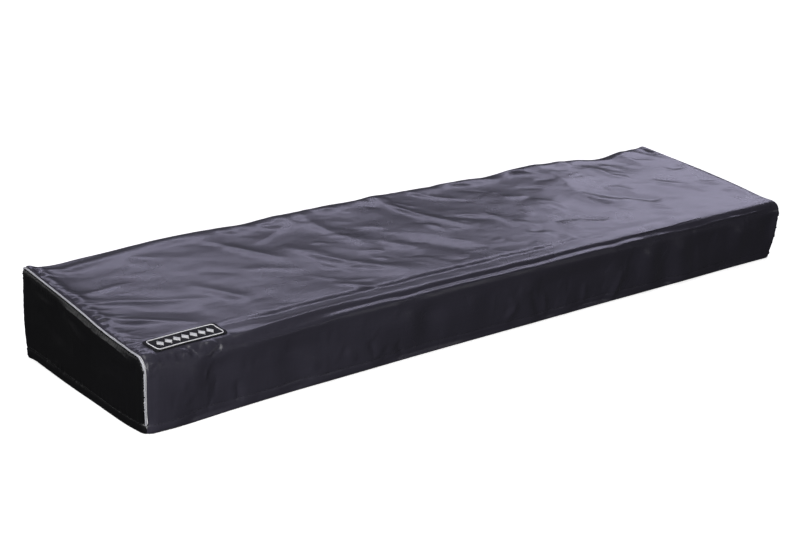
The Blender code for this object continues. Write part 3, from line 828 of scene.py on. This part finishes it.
def make_end_panel(side, material):
    """An end panel and its outer points: columns from its hem up to the seam line."""
    seam = seam_line(side, EDGE_INSET)
    lip = int(np.argmax(seam[:, 1] > FRONT_TURN))
    last = len(seam) - 1 - int(np.argmax(seam[::-1, 1] > BACK_TURN))
    top = resampled(seam[lip:last + 1], END_COLUMNS)
    share = (top[:, 0] - top[0, 0]) / (top[-1, 0] - top[0, 0])
    foot_y = seam[0, 0] + share * (seam[-1, 0] - seam[0, 0])
    foot = np.stack([foot_y, along(END_HEM, "z", foot_y)], axis=1)
    rows = spaced(0, (0.2, 0.2 / 16), (0.9, 0.7 / 42), (1.0, 0.1 / 16))
    yz = foot[:, None] + (top - foot)[:, None] * rows[None, :, None]
    for column, edge, weight in ((0, seam[:lip + 1], 1 - share), (-1, seam[last:][::-1], share)):
        bow = np.interp(yz[column, :, 1], edge[:, 1], edge[:, 0]) - yz[column, :, 0]
        yz[..., 0] += bow * weight[:, None]
    y, z = yz[..., 0], yz[..., 1]
    above = z - foot[:, 1:]
    end = np.full_like(y, side)
    rng = np.random.default_rng(END_SEED + side)
    height = np.zeros_like(y)
    add_creases(height, y, z, END_CREASES[side])
    for high, lean, cell_y, cell_z in (
        (1.0, 0, 0.07, 0.05), (0.30, 0.5, 0.025, 0.018), (0.06, 0, 0.008, 0.006),
    ):
        height += high * MM * soft_noise(rng, y + lean * z, z, cell_y, cell_z)
    add_creases(height, y, z, hem_puckers(rng))
    add_creases(height, y, z, seam_puckers(rng, top))
    # distance in from the seam: from the top, the front and the back edge
    edge = np.concatenate([seam[:lip], top, seam[last + 1:]])[::3]
    away = np.min(np.hypot(y[..., None] - edge[:, 0], z[..., None] - edge[:, 1]), axis=-1)
    height *= smooth(away / END_CALM)
    height += END_ROLL * bell(away - END_ROLL_AT, END_ROLL_WIDTH)
    height *= rising(z, 10 * MM, 0.2)
    height += hem_shape(above, y)
    wrap = wrapped(above) * (y < 0) * (side < 0)
    height -= seam_roll(away, end, y) * (1 - wrap)
    height = np.minimum(height - END_REST * (1 - sunk(end, y)), END_MOST)
    out = side * (LENGTH / 2 + height)
    if side < 0:
        yz[..., 0] = np.where(y < 0, reach_on(y, yz[:1, :, 0], z), y)
    points = wrap_corner(settle(np.concatenate([out[..., None], yz], axis=2)))
    if side < 0:
        points, yz = points[::-1], yz[::-1]
    name = "left_end_cloth" if side < 0 else "right_end_cloth"
    return make_sheet(name, points, CLOTH, 3, yz, material), points


def rings_round(line, up, radius, sides):
    """A ring of points round each point of a line."""
    way = direction(line)
    across = unit(np.cross(way, up))
    over = np.cross(across, way)
    turn = np.linspace(0, 2 * math.pi, sides, endpoint=False)[:, None]
    ring = np.cos(turn) * across[:, None] + np.sin(turn) * over[:, None]
    return line[:, None] + radius[:, None, None] * ring


def add_tube(bm, rings):
    """A closed tube through the rings; returns its side faces, each with its ring and side."""
    verts = [[bm.verts.new(point) for point in ring] for ring in rings]
    faces = []
    for i, (first, second) in enumerate(zip(verts, verts[1:])):
        for k in range(len(first)):
            k2 = (k + 1) % len(first)
            faces.append((bm.faces.new([first[k], first[k2], second[k2], second[k]]), i, k))
    bm.faces.new(verts[0])
    bm.faces.new(verts[-1])
    return faces


PIPE_SEED = 5
PIPE_RINGS = 460
PIPE_SIDES = 14
# How far short of the hem the piping ends, and how far it wavers at either end
PIPE_STOP = 4 * MM
PIPE_WAVER = {-1: 0.18 * MM, 1: 0.12 * MM}
PIPE_STITCH = 3.1 * MM


def make_piping(side, material):
    """The corded piping: cloth drawn tight round a cord, puckered at its stitches."""
    line = seam_line(side, PIPE_INSET)
    deep = sunk(np.full(len(line), side), line[:, 0]) * PIPE_SUNK
    line = offset_profile(line, deep)
    run = running(line)
    fine = np.linspace(WRAP_TOP if side < 0 else PIPE_STOP, run[-1] - PIPE_STOP, PIPE_RINGS)
    x = side * (LENGTH / 2 - PIPE_INSET - np.interp(fine, run, deep))
    middle = settle(np.column_stack([x, at_lengths(fine, run, line)]))
    rng = np.random.default_rng(PIPE_SEED + side)
    knots = fine[::20]
    middle[:, 0] += PIPE_WAVER[side] * np.interp(fine, knots, rng.uniform(-1, 1, len(knots)))
    pucker = 0.02 * np.cos(2 * math.pi * fine / PIPE_STITCH) + 0.005 * rng.normal(size=len(fine))
    bm = bmesh.new()
    uv = bm.loops.layers.uv.new("cloth")
    rings = rings_round(middle, [side, 0, 0], PIPE_RADIUS * (1 + pucker), PIPE_SIDES)
    for face, i, k in add_tube(bm, rings):
        for loop, (a, b) in zip(face.loops, ((i, k), (i, k + 1), (i + 1, k + 1), (i + 1, k))):
            loop[uv].uv = (fine[a], b / PIPE_SIDES * 2 * math.pi * PIPE_RADIUS)
    return finished("left_piping" if side < 0 else "right_piping", bm, material)


def tubes(name, paths, radius, sides, material):
    """One piece of short tubes, each along its own few points, with narrow ends."""
    bm = bmesh.new()
    for path, up in paths:
        share = np.ones(len(path))
        share[[0, -1]] = TUBE_END
        add_tube(bm, rings_round(path, up, radius * share, sides))
    return finished(name, bm, material)


def stitch_paths(line, normal):
    """Stitches along a line of points on the cloth: each dips in at both ends."""
    run = running(line)
    start = STITCH_PITCH / 2
    while start + STITCH_LENGTH < run[-1]:
        at = start + STITCH_LENGTH * STITCH_SHARES
        up = at_lengths(at.mean(), run, normal)
        yield at_lengths(at, run, line) + STITCH_RISE[:, None] * up, up
        start += STITCH_PITCH


def make_material(name):
    """A new material, its node tree and its shader."""
    material = bpy.data.materials.new(name)
    material.use_nodes = True
    return material, material.node_tree, material.node_tree.nodes["Principled BSDF"]


def set_values(node, **values):
    """Sets a node's properties, or its sockets' values, by name."""
    for key, value in values.items():
        if hasattr(node, key):
            setattr(node, key, value)
        else:
            node.inputs[key.replace("_", " ")].default_value = value
    return node


def add_node(tree, kind, **values):
    """A new node with those values."""
    return set_values(tree.nodes.new(kind), **values)


def math_node(tree, operation, first, second=None):
    """The result of a sum on sockets or numbers."""
    node = add_node(tree, "ShaderNodeMath", operation=operation)
    for socket, value in zip(node.inputs, (first, second)):
        if isinstance(value, (int, float)):
            socket.default_value = value
        elif value is not None:
            tree.links.new(value, socket)
    return node.outputs[0]


def noise_node(tree, place, scale, detail, roughness):
    """Noise over the cloth."""
    noise = add_node(tree, "ShaderNodeTexNoise", Scale=scale, Detail=detail, Roughness=roughness)
    tree.links.new(place, noise.inputs["Vector"])
    return noise.outputs[0]


def yarn_streaks(tree, place, stretch, detail, roughness):
    """Streaks of thicker yarn: noise stretched differently along the cloth and across it."""
    mapping = add_node(tree, "ShaderNodeMapping", Scale=stretch)
    tree.links.new(place, mapping.inputs[0])
    return noise_node(tree, mapping.outputs[0], 1.0, detail, roughness)


def color_ramp(tree, value, *stops):
    """A value as a colour, through two stops of position and colour."""
    ramp = add_node(tree, "ShaderNodeValToRGB")
    for element, (position, color) in zip(ramp.color_ramp.elements, stops):
        element.position = position
        element.color = (*color, 1)
    tree.links.new(value, ramp.inputs[0])
    return ramp.outputs[0]


def bump_node(tree, height, strength, distance, normal=None):
    """The normal of a surface with those heights on it."""
    bump = add_node(tree, "ShaderNodeBump", Strength=strength, Distance=distance)
    tree.links.new(height, bump.inputs["Height"])
    if normal is not None:
        tree.links.new(normal, bump.inputs["Normal"])
    return bump.outputs[0]


def weave_height(tree, place, pitch):
    """A plain weave: threads that pass over and under each other, from 0 to 1."""
    split = add_node(tree, "ShaderNodeSeparateXYZ")
    tree.links.new(place, split.inputs[0])
    turn_x = math_node(tree, "MULTIPLY", split.outputs[0], math.pi / pitch)
    turn_y = math_node(tree, "MULTIPLY", split.outputs[1], math.pi / pitch)
    warp = math_node(tree, "MULTIPLY", math_node(tree, "SINE", turn_x), math_node(tree, "COSINE", turn_y))
    return math_node(tree, "ABSOLUTE", warp)


def make_cloth_material(name, dark, light, roughness, sheen, weave_pitch=0.7 * MM, specular=0.5):
    """Woven cloth: a fine weave, faint streaks along its threads, and soft clouds of colour."""
    material, tree, shader = make_material(name)
    link = tree.links.new
    place = add_node(tree, "ShaderNodeUVMap", uv_map="cloth").outputs[0]
    streaks = math_node(tree, "ADD", yarn_streaks(tree, place, (14, 420, 1), 3.0, 0.6),
                        yarn_streaks(tree, place, (380, 20, 1), 2.0, 0.5))
    cloud = noise_node(tree, place, 7.0, 3.0, 0.5)
    mixed = math_node(tree, "ADD", math_node(tree, "MULTIPLY", streaks, 0.35),
                      math_node(tree, "MULTIPLY", cloud, 0.3))
    link(color_ramp(tree, mixed, (0.36, dark), (0.66, light)), shader.inputs["Base Color"])
    gloss = add_node(tree, "ShaderNodeMapRange", From_Min=0.35, From_Max=0.65,
                     To_Min=roughness - 0.01, To_Max=roughness + 0.01)
    link(cloud, gloss.inputs[0])
    link(gloss.outputs[0], shader.inputs["Roughness"])
    set_values(shader, Specular_IOR_Level=specular, Sheen_Weight=sheen, Sheen_Roughness=0.35,
               Sheen_Tint=(0.86, 0.84, 1.0, 1))
    fine = bump_node(tree, weave_height(tree, place, weave_pitch), 0.10, 0.05 * MM)
    link(bump_node(tree, streaks, 0.03, 0.12 * MM, fine), shader.inputs["Normal"])
    return material


def make_thread_material(name, dark, light, twist):
    """Twisted thread, darker between its turns: painted shade in the grooves."""
    material, tree, shader = make_material(name)
    link = tree.links.new
    place = add_node(tree, "ShaderNodeTexCoord").outputs["Object"]
    wave = add_node(tree, "ShaderNodeTexWave", Scale=twist, Distortion=1.5, Detail=1.0,
                    bands_direction="DIAGONAL")
    link(place, wave.inputs["Vector"])
    turns = wave.outputs["Fac"]
    # colour from the same bands as the bump: the low parts between the turns are painted darker, as shade
    link(color_ramp(tree, turns, (0, dark), (1, light)), shader.inputs["Base Color"])
    set_values(shader, Roughness=0.55)
    link(bump_node(tree, turns, 0.4, 0.1 * MM), shader.inputs["Normal"])
    return material


def on_cloth(grid, x, s):
    """Points and outer normals on a grid of cloth at places x, s."""
    wide, rows, points = grid
    normals = outward(points)
    found, facing = [], []
    for column, where in zip(np.interp(x, wide[:, 0], np.arange(len(wide))), s):
        i = min(int(column), len(wide) - 2)
        t = column - i
        line, strip, lean = (each[i] * (1 - t) + each[i + 1] * t for each in (rows, points, normals))
        found.append(at_lengths(where, line, strip))
        facing.append(at_lengths(where, line, lean))
    return np.array(found), unit(np.array(facing))


def patch_points(grid, length, width, lift):
    """Places on the patch, in its own length and width, lifted off the cloth, and their normals."""
    x = PATCH_X + length * math.cos(PATCH_TURN) - width * math.sin(PATCH_TURN)
    s = PATCH_S + length * math.sin(PATCH_TURN) + width * math.cos(PATCH_TURN)
    points, normals = on_cloth(grid, x.ravel(), s.ravel())
    lifted = points + normals * np.broadcast_to(lift, x.shape).reshape(-1, 1)
    return lifted.reshape(*x.shape, 3), normals.reshape(*x.shape, 3)


def rounded(length, width, corner):
    """A rectangle's grid with its corners pulled in to round ones."""
    over = np.stack([
        np.maximum(np.abs(length) - length.max() + corner, 0),
        np.maximum(np.abs(width) - width.max() + corner, 0),
    ])
    in_corner = np.min(over, axis=0) > 0
    pull = np.where(in_corner, 1 - np.max(over, axis=0) / np.where(in_corner, np.hypot(*over), 1), 0)
    return length - np.sign(length) * over[0] * pull, width - np.sign(width) * over[1] * pull


PATCH_SEED = 3
PATCH_STEP = 1.6 * MM
PATCH_SWELL = 0.25 * MM
CORNER_STEPS = 6
BORDER_INSET = (4.8 * MM, 3.0 * MM)
BORDER_RADIUS = 0.70 * MM
BORDER_POINTS = 200
# How high the middle of the light thread lies above the patch's rim
THREAD_LIFT = 0.40 * MM
THREAD_RADIUS = 0.46 * MM
LOZENGES = 7
LOZENGE_PITCH = 13.2 * MM
LOZENGE_HALF = (5.6 * MM, 8.6 * MM)
LOZENGE_ROWS = 13
SHORTEST_ROW = 0.5 * MM


def patch_lines(size):
    """Grid lines over one side of the patch, closer together in its round corners."""
    inner = np.linspace(-size / 2 + PATCH_CORNER, size / 2 - PATCH_CORNER,
                        round((size - 2 * PATCH_CORNER) / PATCH_STEP) + 1)
    corner = np.linspace(0, PATCH_CORNER, CORNER_STEPS + 1)[:-1]
    return np.concatenate([-size / 2 + corner, inner, size / 2 - corner[::-1]])


def border_line():
    """The border's closed outline on the patch, as a rectangle with round corners."""
    half_l, half_w = PATCH_LENGTH / 2 - BORDER_INSET[0], PATCH_WIDTH / 2 - BORDER_INSET[1]
    outline = []
    for quarter, (sign_l, sign_w) in enumerate(((1, 1), (-1, 1), (-1, -1), (1, -1))):
        for turn in np.linspace(0, math.pi / 2, CORNER_STEPS + 1):
            angle = quarter * math.pi / 2 + turn
            outline.append((sign_l * (half_l - PATCH_CORNER) + PATCH_CORNER * math.cos(angle),
                            sign_w * (half_w - PATCH_CORNER) + PATCH_CORNER * math.sin(angle)))
    return resampled(np.array([*outline, outline[0]]), BORDER_POINTS)


def lozenge_rows():
    """The rows of thread that fill the lozenges, as places on the patch."""
    for i in range(LOZENGES):
        middle = (i - (LOZENGES - 1) / 2) * LOZENGE_PITCH
        for row in np.linspace(-1, 1, LOZENGE_ROWS):
            reach = LOZENGE_HALF[1] * (1 - abs(row))
            if reach >= SHORTEST_ROW:
                ends = np.linspace(-reach, reach, 4)
                yield np.full_like(ends, middle + row * LOZENGE_HALF[0]), ends


def make_patch(grid, material, thread):
    """The woven patch, its light border line and a row of plain lozenges."""
    length, width = np.meshgrid(patch_lines(PATCH_LENGTH), patch_lines(PATCH_WIDTH), indexing="ij")
    raised = smooth(-beyond_patch(length, width) / (3 * MM))
    rng = np.random.default_rng(PATCH_SEED)
    length, width = rounded(length, width, PATCH_CORNER)
    rim = PATCH_LIFT + PATCH_CLOTH
    wave = soft_noise(rng, length, width, 0.022, 0.016)
    lift = rim + PATCH_SWELL * (raised + wave)
    points, _ = patch_points(grid, length, width, lift)
    patch = make_sheet("patch", points, PATCH_CLOTH, 1, np.stack([length, width], axis=-1), material)
    height = rim + THREAD_LIFT
    path = patch_points(grid, *border_line().T, height)
    border = tubes("patch_border", [path], BORDER_RADIUS, 8, thread)
    rows = [patch_points(grid, *row, height) for row in lozenge_rows()]
    return patch, border, tubes("patch_lozenges", rows, THREAD_RADIUS, 6, thread)


# How much of the floor's white comes from its own glow, as in a photograph cut out on white
FLOOR_GLOW = 0.75
FLOOR_HALF = 40
FLOOR_DROP = 0.5 * MM


def make_floor():
    """A pale floor just under the hem, which neither reflects in the cloth nor lights it."""
    mesh = bpy.data.meshes.new("floor")
    corners = [(a * FLOOR_HALF, b * FLOOR_HALF, 0) for a, b in ((-1, -1), (1, -1), (1, 1), (-1, 1))]
    mesh.from_pydata(corners, [], [(0, 1, 2, 3)])
    floor = linked("floor", mesh)
    floor.location.z = CAD_LOW.z - FLOOR_DROP
    material, _, shader = make_material("pale_floor")
    set_values(shader, Base_Color=(0.86, 0.86, 0.86, 1), Roughness=0.9, Specular_IOR_Level=0.1,
               Emission_Color=(1, 1, 1, 1), Emission_Strength=FLOOR_GLOW)
    mesh.materials.append(material)
    floor.visible_glossy = False
    floor.visible_diffuse = False


FOCAL_PX = 1408.6
PHOTO_WIDTH_PX = 800
SENSOR = 36
CAMERA_PLACE = (-1.5212, -1.6410, 0.7965)
PITCH, HEADING, ROLL = (math.radians(angle) for angle in (71.72, -40.80, 2.239))


def make_camera():
    """The photograph's camera, fitted to the cover's corners."""
    data = bpy.data.cameras.new("camera")
    data.sensor_width = SENSOR
    data.lens = FOCAL_PX / PHOTO_WIDTH_PX * SENSOR
    data.clip_start = 0.05
    data.clip_end = 100
    camera = linked("camera", data)
    turn = Matrix.Rotation(HEADING, 4, "Z") @ Matrix.Rotation(PITCH, 4, "X") @ Matrix.Rotation(ROLL, 4, "Z")
    camera.matrix_world = Matrix.Translation(CAMERA_PLACE) @ turn
    bpy.context.scene.camera = camera


STUDIO_LIGHT = 0.025
BACKDROP_LIGHT = 1.0
CEILING_LIGHT = 0.9
CEILING_ANGLE = 38
COOL = (0.78, 0.75, 1.0)
WHITE = (1, 1, 1)
TOP_MIDDLE = (0.0, 0, 0.1)
FRONT_MIDDLE = (-0.2, -0.17, 0.05)

# Softboxes: where each stands, what it faces, its size, its power and its colour
SOFTBOXES = {
    "low_softbox": ((3.6, 4.0, 3.15), TOP_MIDDLE, (8.2, 1.3), 16, COOL),
    "high_softbox": ((3.6, 4.2, 4.8), TOP_MIDDLE, (8.6, 0.8), 126, COOL),
    "right_softbox": ((5.6, 2.3, 2.6), (0.2, 0, 0.1), (3.4, 1.2), 36, COOL),
    "left_softbox": ((-1.9, 1.9, 0.55), (-0.68, 0, 0.1), (1.0, 0.5), 4, WHITE),
    "front_softbox": ((-0.8, -1.3, 0.55), FRONT_MIDDLE, (0.5, 0.8), 6, WHITE),
    "raking_softbox": ((-3.2, -1.6, 0.7), FRONT_MIDDLE, (0.5, 0.8), 80, WHITE),
    "low_front_softbox": ((1.6, -2.4, 0.25), FRONT_MIDDLE, (1.0, 0.4), 1.2, WHITE),
}


def make_light(name, location, target, size, power, color):
    """A softbox that faces its target."""
    data = bpy.data.lights.new(name, "AREA")
    data.shape = "RECTANGLE"
    data.size, data.size_y = size
    data.energy = power
    data.color = color
    light = linked(name, data)
    light.location = location
    light.rotation_mode = "QUATERNION"
    light.rotation_quaternion = (Vector(location) - Vector(target)).to_track_quat("Z", "Y")


def make_world():
    """Dim surroundings, seen as white by the camera alone."""
    world = bpy.data.worlds.new("studio")
    bpy.context.scene.world = world
    world.use_nodes = True
    tree = world.node_tree
    background = set_values(tree.nodes["Background"], Color=(1, 1, 1, 1))
    path = add_node(tree, "ShaderNodeLightPath")
    strength = add_node(tree, "ShaderNodeMapRange", To_Min=STUDIO_LIGHT, To_Max=BACKDROP_LIGHT)
    tree.links.new(path.outputs["Is Camera Ray"], strength.inputs[0])
    tree.links.new(strength.outputs[0], background.inputs["Strength"])


def make_lights():
    """The surroundings, a wide ceiling light and the softboxes."""
    make_world()
    data = bpy.data.lights.new("ceiling", "SUN")
    data.energy = CEILING_LIGHT
    data.angle = math.radians(CEILING_ANGLE)
    linked("ceiling", data)
    for name, values in SOFTBOXES.items():
        make_light(name, *values)
    bpy.context.scene.view_settings.view_transform = "Standard"


def build():
    """Every piece of the cover, then the floor, the camera and the lights."""
    nylon = make_cloth_material("charcoal_nylon", (0.030, 0.028, 0.040), (0.034, 0.032, 0.045), 0.28, 0.05)
    # The end panels are the same nylon as the main cloth: their far darker colour is painted shade, for ends
    # that face away from the light
    end_nylon = make_cloth_material("end_nylon", (0.002, 0.002, 0.0025), (0.004, 0.004, 0.005), 0.38, 0.0,
                                    specular=0.4)
    cord = make_cloth_material("grey_piping", (0.32, 0.32, 0.35), (0.50, 0.50, 0.54), 0.40, 0.1,
                               weave_pitch=0.5 * MM)
    woven = make_cloth_material("woven_patch", (0.004, 0.004, 0.005), (0.010, 0.010, 0.011), 0.7, 0.0,
                                weave_pitch=0.9 * MM, specular=0.2)
    white_thread = make_thread_material("white_thread", (0.62, 0.62, 0.64), (0.90, 0.90, 0.92), 700)
    black_thread = make_thread_material("black_thread", (0.004, 0.004, 0.005), (0.02, 0.02, 0.022), 900)

    cover, x, s, points, under_patch = make_cover(nylon)
    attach(cover, "root")
    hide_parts("main_panel")

    patch, border, motif = make_patch((x, s, under_patch), woven, white_thread)
    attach(patch, "root")
    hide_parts("label_patch")
    for piece in (border, motif):
        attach(piece, "root")

    # the stitched lines: of the front and back hem, then of both ends
    hem_lines = []
    normals = outward(points)
    kept = np.flatnonzero(np.abs(x[:, 0]) < SEAM_X - STITCH_STOP)
    for edge in (s[:, :1], s[:, -1:]):
        row = np.argmin(np.abs(np.abs(s - edge) - HEM_HEIGHT), axis=1)[kept]
        hem_lines.append((points[kept, row], normals[kept, row]))

    for side in (-1, 1):
        panel, end_points = make_end_panel(side, end_nylon)
        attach(panel, "root")
        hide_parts("end_panel_left" if side < 0 else "end_panel_right")
        piping = make_piping(side, cord)
        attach(piping, "root")
        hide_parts("piping_left" if side < 0 else "piping_right")
        row = np.argmin(np.abs(end_points[len(end_points) // 2, :, 2] - HEM_HEIGHT))
        hem_lines.append((end_points[4:-4, row], outward(end_points)[4:-4, row]))

    paths = [path for line, normal in hem_lines for path in stitch_paths(line, normal)]
    stitches = tubes("hem_stitches", paths, STITCH_RADIUS, 5, black_thread)
    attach(stitches, "root")

    make_floor()
    make_camera()
    make_lights()


build()
